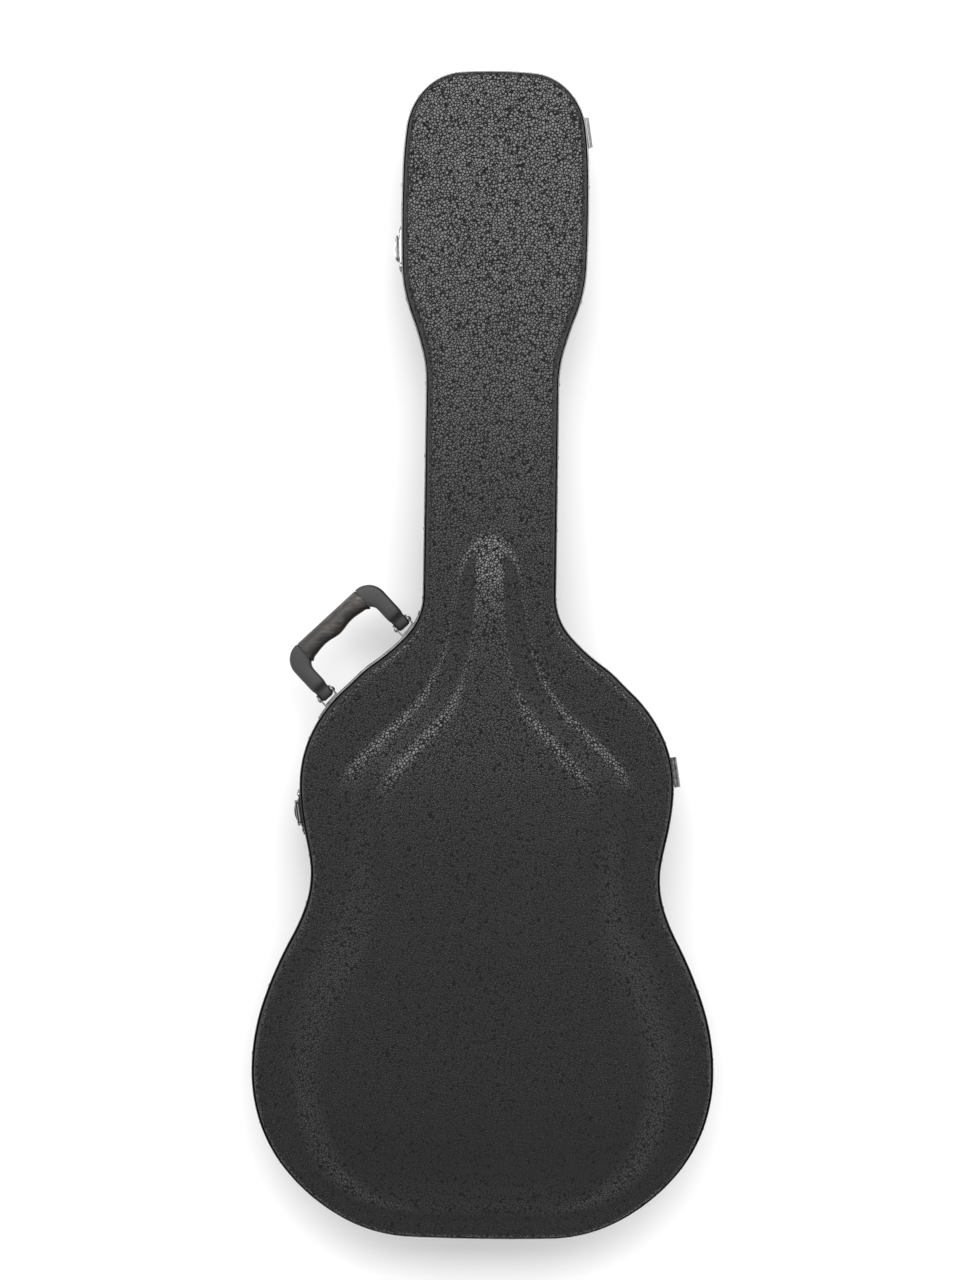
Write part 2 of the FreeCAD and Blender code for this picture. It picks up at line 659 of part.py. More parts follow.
def handle_body():
    """The stiff bow: two arms and the core that the grip is moulded over."""
    half, reach = HANDLE_HALF_WIDTH, HANDLE_REACH
    inner = half - ARM_WIDTH
    depth = ARM_DEPTH / 2
    outer_block = box((-half, half), (-TIP_RADIUS, reach), (-depth, depth))
    corners = [e for e in outer_block.Edges if e.BoundBox.ZLength > 5 and e.BoundBox.YMin > 5]
    bow = outer_block.makeFillet(19.0, corners)
    window = box((-inner, inner), (-TIP_RADIUS - 1, reach - 20), (-depth - 1, depth + 1))
    corners = [e for e in window.Edges if e.BoundBox.ZLength > 5 and e.BoundBox.YMin > 5]
    bow = bow.cut(window.makeFillet(9.0, corners))
    waist = box((-GRIP_HALF_LENGTH, GRIP_HALF_LENGTH), (reach - 30, reach + 5), (-depth - 1, depth + 1))
    core = box((-GRIP_HALF_LENGTH - 1, GRIP_HALF_LENGTH + 1), (reach - 16, reach - 6), (-5, 5))
    bow = bow.cut(waist).fuse(core)
    for side in (-1, 1):
        middle = side * PIVOT_SPAN
        for way in (-1, 1):
            far = middle + way * (TIP_HALF_WIDTH + 12)
            near = middle + way * TIP_HALF_WIDTH
            bow = bow.cut(box((min(near, far), max(near, far)), (-20, TIP_LENGTH), (-9, 9)))
            low, high = sorted((way * TIP_RADIUS, way * 9))
            bow = bow.cut(box((middle - 20, middle + 20), (-20, TIP_LENGTH), (low, high)))
        tip = rod((middle - TIP_HALF_WIDTH, 0, 0), (1, 0, 0), 2 * TIP_HALF_WIDTH, TIP_RADIUS)
        trim = box((middle - TIP_HALF_WIDTH, middle + TIP_HALF_WIDTH), (-TIP_RADIUS - 1, 0), (-9, 9))
        bow = bow.cut(trim.cut(tip))
        bow = bow.cut(rod((middle - 20, 0, 0), (1, 0, 0), 40, HANDLE_PIN + RUNNING))
    return bow


def handle_grip():
    """The soft grip: straight outside, finger hollows inside, round the core."""
    sections = []
    for share, narrow in ((-1, 0.0), (-0.86, 0.3), (-0.45, 1.7), (0, 0.2), (0.45, 1.7), (0.86, 0.3), (1, 0.0)):
        x = share * (GRIP_HALF_LENGTH - 0.3)
        half = GRIP_RADIUS - narrow / 2
        centre = Vector(x, HANDLE_REACH - half - 0.2, 0)
        oval = Part.Ellipse(Vector(x, centre.y + half, 0), Vector(x, centre.y, half * 0.9), centre)
        sections.append(Part.Wire(oval.toShape()))
    sleeve = Part.makeLoft(sections, True, False)
    core = box((-GRIP_HALF_LENGTH - 2, GRIP_HALF_LENGTH + 2), (HANDLE_REACH - 16.1, HANDLE_REACH - 5.9),
               (-5.1, 5.1))
    return sleeve.cut(core)


def valance_rivets(height):
    """Flush rivet heads along the lips; none where a fitting sits."""
    heads = []
    for side in (-1, 1):
        for station in RIVET_STATIONS:
            half_width, heading = rim_point(station)
            angle = math.radians(heading)
            outward = Vector(side * math.sin(angle), -math.cos(angle), 0)
            frame = frame_at(side * half_width, station, outward, PART_Z)
            heads.append(placed(rivet(0, height, 0.05, 1.7, 0.6), frame))
    return Part.makeCompound(heads)


# Export
def save(name, shape):
    if len(shape.Solids) > 1 and shape.ShapeType != "Compound":
        shape = Part.makeCompound(shape.Solids)
    shape = shape.copy()
    shape.translate(Vector(0, -LENGTH / 2, 0))
    shape.exportStep("parts/" + name + ".step")
    print(name, len(shape.Solids), "solids", round(shape.Volume), "mm3", "valid" if shape.isValid() else "INVALID")


def save_latches():
    builders = {"plate": latch_plate, "lever": latch_lever, "bail": latch_bail, "keeper": latch_keeper,
                "pivots": latch_pivots}
    base_heads, lid_heads = [], []
    for name, station in LATCHES:
        frame = latch_frame(station)
        for part, build in builders.items():
            save(name + "_latch_" + part, placed(build(), frame))
        base_heads += placed(latch_rivets(), frame).Solids
        lid_heads += placed(keeper_rivets(), frame).Solids
    save("latch_plate_rivets", Part.makeCompound(base_heads))
    save("latch_keeper_rivets", Part.makeCompound(lid_heads))


def save_hinges():
    base_heads, lid_heads = [], []
    for name, station in HINGES:
        frame, gap = hinge_frame(station), rim_gap(station)
        save(name + "_hinge_base_leaf", placed(leaf(gap, False, (0, 2)), frame))
        save(name + "_hinge_lid_leaf", placed(leaf(gap, True, (1,)), frame))
        save(name + "_hinge_pin", placed(hinge_pin(), frame))
        base_heads += [placed(head, frame) for head in leaf_rivets(gap, False)]
        lid_heads += [placed(head, frame) for head in leaf_rivets(gap, True)]
    save("base_hinge_rivets", Part.makeCompound(base_heads))
    save("lid_hinge_rivets", Part.makeCompound(lid_heads))


def save_handle():
    frame = handle_frame()
    save("handle_plate", handle_plate())
    for name, side in (("upper", 1), ("lower", -1)):
        save("handle_bracket_" + name, handle_bracket(side))
        save("handle_pin_" + name, placed(handle_pin(side), frame))
    save("handle_body", placed(handle_body(), frame))
    save("handle_grip", placed(handle_grip(), frame))


def main():
    for build in (base_shell, lid_shell, base_valance, lid_valance, base_foam, base_lining, lid_foam,
                  lid_lining, neck_cradle, nut_rest, compartment_flap, flap_hinge_tape, flap_ledge, flap_tab):
        save(build.__name__, build())
    save("base_valance_rivets", valance_rivets(-6.2))
    save("lid_valance_rivets", valance_rivets(6.2))
    save_latches()
    save_hinges()
    save_handle()


main()
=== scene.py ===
import json
import math

import bmesh
import bpy
import numpy as np
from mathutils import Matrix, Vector


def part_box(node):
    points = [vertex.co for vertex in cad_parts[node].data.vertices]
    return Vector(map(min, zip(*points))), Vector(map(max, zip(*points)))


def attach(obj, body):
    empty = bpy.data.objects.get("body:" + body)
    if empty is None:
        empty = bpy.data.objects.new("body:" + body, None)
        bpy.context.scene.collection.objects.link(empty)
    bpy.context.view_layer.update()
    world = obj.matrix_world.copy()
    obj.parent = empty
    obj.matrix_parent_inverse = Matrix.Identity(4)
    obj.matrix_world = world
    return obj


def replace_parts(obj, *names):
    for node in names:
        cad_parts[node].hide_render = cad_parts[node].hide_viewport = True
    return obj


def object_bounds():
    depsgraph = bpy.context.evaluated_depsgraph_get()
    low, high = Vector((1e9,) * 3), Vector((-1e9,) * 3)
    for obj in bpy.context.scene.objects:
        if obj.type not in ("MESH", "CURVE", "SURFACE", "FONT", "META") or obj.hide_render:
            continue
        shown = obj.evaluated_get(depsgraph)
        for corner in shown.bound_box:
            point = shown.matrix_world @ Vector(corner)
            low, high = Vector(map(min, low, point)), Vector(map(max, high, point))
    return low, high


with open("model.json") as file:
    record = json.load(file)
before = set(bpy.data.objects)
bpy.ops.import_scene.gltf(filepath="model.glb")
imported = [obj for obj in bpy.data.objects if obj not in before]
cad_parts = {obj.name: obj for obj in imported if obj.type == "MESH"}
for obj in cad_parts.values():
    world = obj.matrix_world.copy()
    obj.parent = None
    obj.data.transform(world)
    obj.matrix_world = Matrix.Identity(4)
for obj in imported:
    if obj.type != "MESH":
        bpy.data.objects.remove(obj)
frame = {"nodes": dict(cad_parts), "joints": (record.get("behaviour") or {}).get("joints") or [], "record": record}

CAD_BOX = [list(corner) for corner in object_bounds()]

# Hard-shell guitar case. Lengths are in millimetres until mesh_piece() turns them into metres.
MM = 0.001
VALANCE_LOW, VALANCE_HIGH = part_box("base_valance")
LENGTH = (VALANCE_HIGH.y - VALANCE_LOW.y) / MM
HALF_SEAM = 0.15
PART_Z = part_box("lid_valance")[0].z / MM - HALF_SEAM
LID_TOP_Z = PART_Z + 36.0
WALL = 2.8
SHELL_INSET = 2.3
BASE_DRAFT = 6.5
LID_DRAFT = 2.2
TOP_RADIUS = 5.0
LIP = 2.1
LIP_HEIGHT = 11.0
WEB = 1.5
INNER_LIP = 5.3
INNER_LIP_END = 6.6
TONGUE = 6.9
TONGUE_END = 8.2
TONGUE_LENGTH = 3.0
FOAM_INSET = 24.0
LID_FOAM_INSET = 16.0
FLOOR_FOAM = 8.0
LID_PAD = 7.0
PLUSH = 2.0
NECK_START = 600.0
NECK_STEP = 12.0
LINING_EDGE = 2.5
LINING_FOOT = 5.0

# Right half of the rim: half-width, station from the butt end, heading in degrees
RIM = [
    (0.0, 0.0, 0), (131.5, 18.0, 28), (187.0, 63.0, 50), (221.5, 160.0, 90),
    (184.5, 288.0, 118), (167.5, 347.0, 90), (172.5, 381.0, 77), (179.5, 434.0, 90),
    (138.5, 525.0, 137), (110.0, 551.0, 145), (64.0, 617.0, 90), (64.0, 819.0, 90),
    (79.5, 886.0, 69), (90.0, 983.0, 90), (86.5, 1065.0, 97), (65.0, 1106.0, 139),
    (0.0, 1120.0, 180),
]

# Crown of the lid: station, half-width, width of its flank, height
CROWN = np.array([
    (10, 40, 60, 0.0), (24, 96, 60, 0.3), (40, 134, 48, 3.6), (66, 164, 46, 8.0), (110, 186, 48, 11.2),
    (165, 195, 50, 12.0), (230, 180, 50, 12.0), (300, 152, 50, 12.0), (350, 143, 50, 12.0),
    (400, 148, 56, 11.8), (440, 144, 62, 11.2), (475, 114, 60, 10.2), (510, 76, 48, 9.2),
    (560, 48, 34, 8.2), (610, 36, 26, 6.8), (645, 29, 20, 4.6), (668, 16, 13, 0.4), (680, 6, 10, 0.0),
], float)

HANDLE_AXIS = next(joint for joint in frame["joints"] if joint["name"] == "handle_swing")
HANDLE_TURN = math.atan2(HANDLE_AXIS["axis"][1], HANDLE_AXIS["axis"][0])


# Rim geometry
def unit(heading):
    """The direction of a heading in degrees."""
    angle = math.radians(heading)
    return np.array([math.cos(angle), math.sin(angle)])


def middle_joint(start, end):
    """Where the two tangent arcs between two rim points meet, with the heading there."""
    first, last = np.array(start[:2]), np.array(end[:2])
    leave, arrive = unit(start[2]), unit(end[2])
    gap = first - last
    square = 2 * (leave @ arrive - 1)
    linear = 2 * gap @ (leave + arrive)
    root = math.sqrt(linear ** 2 - 4 * square * (gap @ gap))
    reach = (-linear - root) / (2 * square)
    if reach < 0:
        reach = (-linear + root) / (2 * square)
    joint = (first + leave * reach + last - arrive * reach) / 2
    chord = joint - first
    return joint[0], joint[1], 2 * math.degrees(math.atan2(chord[1], chord[0])) - start[2]


def half_rim(spacing):
    """Points and headings along the right half of the rim, from the butt end to the head end."""
    joints = [RIM[0]]
    for start, end in zip(RIM, RIM[1:]):
        if start[2] != end[2]:
            joints.append(middle_joint(start, end))
        joints.append(end)
    points = []
    for start, end in zip(joints, joints[1:]):
        chord = math.dist(start[:2], end[:2])
        steps = max(2, round(chord / spacing))
        turn = end[2] - start[2]
        for step in range(steps):
            share = step / steps
            if abs(turn) < 1e-6:
                place = np.array(start[:2]) + (np.array(end[:2]) - np.array(start[:2])) * share
            else:
                radius = chord / (2 * math.sin(math.radians(turn / 2)))
                length = 2 * radius * math.sin(math.radians(turn * share / 2))
                place = np.array(start[:2]) + unit(start[2] + turn * share / 2) * length
            points.append((place[0], place[1], start[2] + turn * share))
    points.append(RIM[-1])
    return np.array(points)


class Rim:
    """The closed rim sampled evenly: points and their inward normals."""

    def __init__(self, spacing=5.0):
        right = half_rim(spacing)
        angle = np.radians(right[:, 2])
        inward = np.stack([-np.sin(angle), np.cos(angle)], 1)
        left, left_inward = right[-2:0:-1, :2] * (-1, 1), inward[-2:0:-1] * (-1, 1)
        self.points = np.vstack([right[:, :2], left])
        self.inward = np.vstack([inward, left_inward])
        self.count = len(self.points)

    def loop(self, inset, z):
        """The rim moved inward, at one height or at a height for each point."""
        flat = self.points + self.inward * inset
        return np.column_stack([flat, np.full(self.count, z) if np.isscalar(z) else z])


RIM_LINE = Rim()


def spine(loop, low=110.0, high=1040.0):
    """For each point of a loop, its place on the centreline, where the rings inside meet."""
    station = loop[:, 1]
    share = (station - station.min()) / (station.max() - station.min())
    place = low + (high - low) * share
    blend = np.clip(np.minimum(station - low, high - station) / 90.0, 0, 1)
    place = place * (1 - blend) + np.clip(station, low, high) * blend
    place = np.clip(place, low, high)
    return np.column_stack([np.zeros(len(loop)), place, loop[:, 2]])


def smooth(x):
    """A soft step from 0 to 1."""
    x = np.clip(x, 0, 1)
    return x * x * (3 - 2 * x)


def cubic(x, knots, values):
    """A smooth curve through the knots, with the slopes of a Catmull-Rom spline kept monotone."""
    slopes = np.diff(values) / np.diff(knots)
    tangents = np.concatenate([[slopes[0]], (slopes[1:] + slopes[:-1]) / 2, [slopes[-1]]])
    flat = np.concatenate([[False], slopes[1:] * slopes[:-1] <= 0, [False]])
    tangents[flat] = 0
    index = np.clip(np.searchsorted(knots, x) - 1, 0, len(knots) - 2)
    width = knots[index + 1] - knots[index]
    t = np.clip((x - knots[index]) / width, 0, 1)
    h00, h10 = 2 * t ** 3 - 3 * t ** 2 + 1, t ** 3 - 2 * t ** 2 + t
    h01, h11 = -2 * t ** 3 + 3 * t ** 2, t ** 3 - t ** 2
    return (h00 * values[index] + h10 * width * tangents[index]
            + h01 * values[index + 1] + h11 * width * tangents[index + 1])


def no_lift(x, station):
    """Height of a flat face over its own level."""
    return np.zeros(len(x))


def crown(x, station):
    """Height of the lid over its flat top."""
    half = cubic(station, CROWN[:, 0], CROWN[:, 1])
    flank = cubic(station, CROWN[:, 0], CROWN[:, 2])
    height = cubic(station, CROWN[:, 0], CROWN[:, 3])
    inside = half - np.abs(x)
    arch = height * (0.94 * smooth(inside / flank) + 0.06 * smooth(inside / half))
    return np.where((station > CROWN[0, 0]) & (station < CROWN[-1, 0]), arch, 0.0)


# Mesh helpers
def mesh_piece(name, vertices, faces, material, body, smooth_angle=40):
    """A mesh object from millimetres in the modelling frame, with stations along Y."""
    mesh = bpy.data.meshes.new(name)
    shifted = [(x * MM, (y - LENGTH / 2) * MM, z * MM) for x, y, z in vertices]
    mesh.from_pydata(shifted, [], faces)
    work = bmesh.new()
    work.from_mesh(mesh)
    bmesh.ops.remove_doubles(work, verts=work.verts, dist=2e-6)
    bmesh.ops.dissolve_degenerate(work, edges=work.edges, dist=1e-7)
    bmesh.ops.recalc_face_normals(work, faces=work.faces)
    work.to_mesh(mesh)
    work.free()
    mesh.polygons.foreach_set("use_smooth", [True] * len(mesh.polygons))
    mesh.set_sharp_from_angle(angle=math.radians(smooth_angle))
    piece = bpy.data.objects.new(name, mesh)
    bpy.context.scene.collection.objects.link(piece)
    piece.data.materials.append(material)
    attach(piece, body)
    return piece


def bridge(loops, closed=False):
    """Vertices and quads of a stack of equal loops; closed joins the last loop to the first."""
    count = len(loops[0])
    vertices = np.vstack(loops)
    faces = []
    pairs = list(zip(range(len(loops)), range(1, len(loops))))
    if closed:
        pairs.append((len(loops) - 1, 0))
    for a, b in pairs:
        for i in range(count):
            j = (i + 1) % count
            faces.append((a * count + i, a * count + j, b * count + j, b * count + i))
    return vertices, faces


def capped(loops):
    """Vertices and faces of a stack of equal loops with both ends closed."""
    vertices, faces = bridge(loops)
    count = len(loops[0])
    faces.append(tuple(range(count)))
    faces.append(tuple(range((len(loops) - 1) * count, len(loops) * count))[::-1])
    return vertices, faces


def corner_curve(before, corner, after, radius, steps):
    """Points that round one corner; the curve takes less than half of either side."""
    before, corner, after = (np.array(point, float) for point in (before, corner, after))
    to_before, to_after = before - corner, after - corner
    lengths = np.linalg.norm(to_before), np.linalg.norm(to_after)
    reach = min(radius, lengths[0] * 0.45, lengths[1] * 0.45)
    start = corner + to_before / lengths[0] * reach
    end = corner + to_after / lengths[1] * reach
    shares = [step / steps for step in range(steps + 1)]
    return [(1 - t) ** 2 * start + 2 * t * (1 - t) * corner + t ** 2 * end for t in shares]


def rounded(points, radius, steps):
    """A profile of (inset, z) points with its inner corners rounded."""
    result = [points[0]]
    for before, corner, after in zip(points, points[1:], points[2:]):
        result += corner_curve(before, corner, after, radius, steps)
    return result + [points[-1]]


def rounded_polygon(corners, radius, steps=5):
    """A closed outline with every corner rounded."""
    count = len(corners)
    result = []
    for i in range(count):
        result += corner_curve(corners[i - 1], corners[i], corners[(i + 1) % count], radius, steps)
    return np.array(result)


def sweep(name, profile, material, body):
    """A closed profile of (inset, z) carried round the rim."""
    loops = [RIM_LINE.loop(inset, z) for inset, z in profile]
    vertices, faces = bridge(loops, closed=True)
    return mesh_piece(name, vertices, faces, material, body)


def inner_rings(edge, count, height, gather=1.15):
    """Rings from a loop to the centreline at height(x, station), gathered towards the edge."""
    middle = spine(edge)
    rings = []
    for step in range(1, count + 1):
        share = (step / count) ** gather
        ring = edge * (1 - share) + middle * share
        ring[:, 2] = height(ring[:, 0], ring[:, 1])
        rings.append(ring)
    return rings


def face_rings(edge, count, lift):
    """Rings that close a level loop with a face lifted by lift(x, station)."""
    level = edge[0, 2]
    return inner_rings(edge, count, lambda x, station: level + lift(x, station))


# Materials
def set_ranges(node, low, high, to_low, to_high):
    """The four numbers of a Map Range node."""
    for key, number in zip(("From Min", "From Max", "To Min", "To Max"), (low, high, to_low, to_high)):
        node.inputs[key].default_value = number


class Nodes:
    """A small helper that builds one procedural material."""

    def __init__(self, name):
        self.material = bpy.data.materials.new(name)
        self.material.use_nodes = True
        self.tree = self.material.node_tree
        self.shader = self.tree.nodes["Principled BSDF"]
        coordinates = self.add("ShaderNodeTexCoord").outputs
        self.place, self.facing = coordinates["Object"], coordinates["Normal"]

    def add(self, kind, **settings):
        node = self.tree.nodes.new(kind)
        for key, value in settings.items():
            setattr(node, key, value)
        return node

    def link(self, source, target):
        self.tree.links.new(source, target)

    def noise(self, scale, detail=2.0, roughness=0.5, distortion=0.0, place=None):
        node = self.add("ShaderNodeTexNoise")
        self.link(place or self.place, node.inputs["Vector"])
        node.inputs["Scale"].default_value = scale
        node.inputs["Detail"].default_value = detail
        node.inputs["Roughness"].default_value = roughness
        node.inputs["Distortion"].default_value = distortion
        return node.outputs["Fac"]

    def cells(self, scale, feature="F1"):
        """Distance to the middle of irregular cells, or to their edges."""
        node = self.add("ShaderNodeTexVoronoi", feature=feature)
        self.link(self.place, node.inputs["Vector"])
        node.inputs["Scale"].default_value = scale
        return node.outputs["Distance"]

    def threads(self, across):
        """Even bands that follow each other along one axis."""
        node = self.add("ShaderNodeTexWave", wave_type="BANDS", bands_direction=across)
        self.link(self.place, node.inputs["Vector"])
        node.inputs["Scale"].default_value = 300.0
        return node.outputs["Fac"]

    def remap(self, value, low, high, to_low=0.0, to_high=1.0, kind="SMOOTHSTEP"):
        """The range from low to high carried to another range."""
        node = self.add("ShaderNodeMapRange", interpolation_type=kind)
        self.link(value, node.inputs["Value"])
        set_ranges(node, low, high, to_low, to_high)
        return node.outputs["Result"]

    def level(self):
        """1 on faces that lie flat in the object's own frame, 0 on upright ones."""
        split = self.add("ShaderNodeSeparateXYZ")
        self.link(self.facing, split.inputs[0])
        return self.math("ABSOLUTE", split.outputs["Z"], 0.0)

    def math(self, operation, a, b):
        node = self.add("ShaderNodeMath", operation=operation)
        for socket, value in zip(node.inputs, (a, b)):
            if isinstance(value, (int, float)):
                socket.default_value = value
            else:
                self.link(value, socket)
        return node.outputs[0]

    def mix(self, fac, a, b):
        node = self.add("ShaderNodeMix", data_type="RGBA")
        self.link(fac, node.inputs["Factor"])
        for socket, value in zip((node.inputs[6], node.inputs[7]), (a, b)):
            if isinstance(value, tuple):
                socket.default_value = (*value, 1.0)
            else:
                self.link(value, socket)
        return node.outputs[2]

    def bump(self, height, distance, strength=1.0):
        """Relief of a pattern, in metres."""
        node = self.add("ShaderNodeBump")
        self.link(height, node.inputs["Height"])
        node.inputs["Distance"].default_value = distance
        node.inputs["Strength"].default_value = strength
        return node.outputs["Normal"]

    def set(self, **values):
        for key, value in values.items():
            socket = self.shader.inputs[key.replace("_", " ")]
            if isinstance(value, tuple):
                socket.default_value = (*value, 1.0)
            elif isinstance(value, (int, float)):
                socket.default_value = value
            else:
                self.link(value, socket)
        return self.material


def grained_abs():
    """Black moulded sheet with a pebbled leather grain, glossy on its ridges, duller on the side walls, with
    painted shade that colours the grain's valleys darker than its ridges.
    """
    n = Nodes("grained_abs")
    ridge = n.remap(n.cells(370.0, "DISTANCE_TO_EDGE"), 0.04, 0.20)
    fine = n.noise(1400.0, 2.0)
    rubbed = n.remap(n.noise(5.0, 4.0, 0.6), 0.45, 0.75)
    # Painted shade: the valleys of the grain get a darker colour than the ridges, standing in for shade in the
    # hollows. The valleys are also rougher and reflect less.
    tone = n.mix(ridge, (0.009, 0.009, 0.0092), (0.013, 0.013, 0.013))
    tone = n.mix(n.math("MULTIPLY", rubbed, 0.15), tone, (0.017, 0.017, 0.0175))
    height = n.math("ADD", ridge, n.math("MULTIPLY", fine, 0.12))
    shine = n.math("MULTIPLY", ridge, n.remap(n.level(), 0.2, 0.9, 0.3, 1.0))
    rough = n.remap(shine, 0.0, 1.0, 0.85, 0.20, "LINEAR")
    gloss = n.remap(shine, 0.0, 1.0, 0.06, 0.52, "LINEAR")
    relief = n.bump(height, 0.00008)
    return n.set(Base_Color=tone, Roughness=rough, Specular_IOR_Level=gloss, Normal=relief)


def aluminium():
    """Dark anodised extrusion with faint handling marks."""
    n = Nodes("anodised_aluminium")
    smudge = n.remap(n.noise(18.0, 4.0, 0.6), 0.35, 0.7)
    scratch = n.noise(900.0, 2.0, 0.5, 1.5)
    tone = n.mix(smudge, (0.10, 0.10, 0.104), (0.135, 0.135, 0.137))
    rough = n.remap(scratch, 0.3, 0.7, 0.17, 0.28, "LINEAR")
    return n.set(Base_Color=tone, Metallic=1.0, Roughness=rough, Normal=n.bump(scratch, 0.00003, 0.5))


def chrome():
    """Bright plating with light wear."""
    n = Nodes("chrome_plate")
    wear = n.remap(n.noise(120.0, 5.0, 0.65), 0.5, 0.8)
    tone = n.mix(wear, (0.24, 0.24, 0.235), (0.17, 0.17, 0.165))
    rough = n.remap(wear, 0.0, 1.0, 0.08, 0.22, "LINEAR")
    relief = n.bump(n.noise(60.0, 2.0), 0.00005, 0.3)
    return n.set(Base_Color=tone, Metallic=1.0, Roughness=rough, Normal=relief)


def zinc():
    """Duller plated steel of rivets, pins, brackets and hinges."""
    n = Nodes("zinc_plate")
    cloud = n.remap(n.noise(150.0, 4.0, 0.6), 0.35, 0.7)
    tone = n.mix(cloud, (0.13, 0.13, 0.133), (0.20, 0.20, 0.20))
    rough = n.remap(cloud, 0.0, 1.0, 0.24, 0.38, "LINEAR")
    return n.set(Base_Color=tone, Metallic=1.0, Roughness=rough, Normal=n.bump(cloud, 0.00004, 0.4))


def handle_plastic():
    """Charcoal moulded plastic with a fine spark texture."""
    n = Nodes("handle_plastic")
    spark = n.noise(1500.0, 2.0)
    cloud = n.remap(n.noise(30.0, 3.0), 0.3, 0.7)
    tone = n.mix(cloud, (0.013, 0.013, 0.0135), (0.021, 0.021, 0.0215))
    return n.set(Base_Color=tone, Roughness=0.52, Normal=n.bump(spark, 0.00012, 0.6))


def grip_rubber():
    """Soft brownish-black grip with worn streaks along it."""
    n = Nodes("grip_rubber")
    turn = n.add("ShaderNodeMapping")
    n.link(n.place, turn.inputs["Vector"])
    turn.inputs["Rotation"].default_value = (0.0, 0.0, -HANDLE_TURN)
    turn.inputs["Scale"].default_value = (0.16, 1.0, 1.0)
    streak = n.remap(n.noise(420.0, 4.0, 0.65, place=turn.outputs["Vector"]), 0.42, 0.66)
    wear = n.math("MULTIPLY", streak, n.remap(n.noise(60.0, 2.0), 0.35, 0.65))
    tone = n.mix(wear, (0.012, 0.0095, 0.008), (0.060, 0.050, 0.042))
    rough = n.remap(wear, 0.0, 1.0, 0.42, 0.30, "LINEAR")
    height = n.math("ADD", streak, n.math("MULTIPLY", n.noise(1300.0, 2.0), 0.5))
    return n.set(Base_Color=tone, Roughness=rough, Normal=n.bump(height, 0.00015, 0.7))


def plush():
    """Short-pile lining with soft nap and brushed streaks."""
    n = Nodes("black_plush")
    pile = n.noise(900.0, 3.0, 0.7)
    nap = n.remap(n.noise(14.0, 4.0, 0.55, 0.6), 0.35, 0.68)
    tone = n.mix(nap, (0.010, 0.010, 0.012), (0.026, 0.026, 0.029))
    tone = n.mix(n.remap(pile, 0.4, 0.75), tone, (0.045, 0.045, 0.048))
    n.shader.inputs["Sheen Weight"].default_value = 0.6
    n.shader.inputs["Sheen Roughness"].default_value = 0.4
    n.shader.inputs["Sheen Tint"].default_value = (0.5, 0.5, 0.53, 1.0)
    return n.set(Base_Color=tone, Roughness=0.95, Normal=n.bump(pile, 0.0006, 0.9))


def bead_foam():
    """Expanded bead foam."""
    n = Nodes("bead_foam")
    beads = n.cells(260.0)
    tone = n.mix(n.remap(beads, 0.0, 0.6), (0.82, 0.82, 0.80), (0.62, 0.62, 0.60))
    return n.set(Base_Color=tone, Roughness=0.85, Normal=n.bump(beads, -0.0006, 0.8))


def tape_cloth():
    """Woven tape."""
    n = Nodes("woven_tape")
    weave = n.math("MULTIPLY", n.threads("Y"), n.threads("X"))
    tone = n.mix(weave, (0.012, 0.012, 0.013), (0.04, 0.04, 0.042))
    return n.set(Base_Color=tone, Roughness=0.85, Normal=n.bump(weave, 0.0003, 0.8))


MATERIALS = {
    "grain": grained_abs(), "aluminium": aluminium(), "chrome": chrome(),
    "zinc": zinc(), "handle": handle_plastic(), "grip": grip_rubber(), "plush": plush(),
    "foam": bead_foam(), "tape": tape_cloth(),
}
SLOT_MATERIAL = {
    "moulded_abs": "grain", "valance_aluminium": "aluminium", "chrome": "chrome", "zinc_steel": "zinc",
    "handle_plastic": "handle", "grip_rubber": "grip", "foam": "foam", "plush": "plush",
    "board": "plush", "tape": "tape",
}


def dress_cad_nodes():
    """Every carried-over CAD node gets the procedural material of its slot and smooth shading."""
    for part in frame["record"]["subparts"]:
        node = frame["nodes"][part["node"]]
        node.data.materials.clear()
        node.data.materials.append(MATERIALS[SLOT_MATERIAL[part["material_slot"]]])
        node.data.polygons.foreach_set("use_smooth", [True] * len(node.data.polygons))
        node.data.set_sharp_from_angle(angle=math.radians(35))


# Shells
def shell_profile(flat_z, band_z, edge_z, draft, radius, inset):
    """The wall of a tray as (inset, z), from its open edge to where the flat face starts."""
    foot = inset + draft
    corners = [(inset, edge_z), (inset, band_z), (foot, flat_z), (foot + radius * 1.6, flat_z)]
    return rounded(corners, radius, 5)


def shell_side(profile, rings, lift):
    """One side of a tray: its profile carried round the rim, closed by a face."""
    loops = [RIM_LINE.loop(inset, z) for inset, z in profile]
    return loops + face_rings(loops[-1], rings, lift)


def lid_shell():
    """The lid's moulding, from the valance's web up to the crowned face, inside and out."""
    edge = PART_Z + HALF_SEAM + WEB + 0.05
    band = PART_Z + LIP_HEIGHT + 1
    outer = shell_profile(LID_TOP_Z, band, edge, LID_DRAFT, TOP_RADIUS, SHELL_INSET)
    inner = shell_profile(LID_TOP_Z - WALL, band, edge, LID_DRAFT, 3.0, SHELL_INSET + WALL)
    loops = shell_side(inner, 44, crown)[::-1] + shell_side(outer, 44, crown)
    vertices, faces = bridge(loops)
    piece = mesh_piece("lid_shell_skin", vertices, faces, MATERIALS["grain"], "lid")
    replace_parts(piece, "lid_shell")


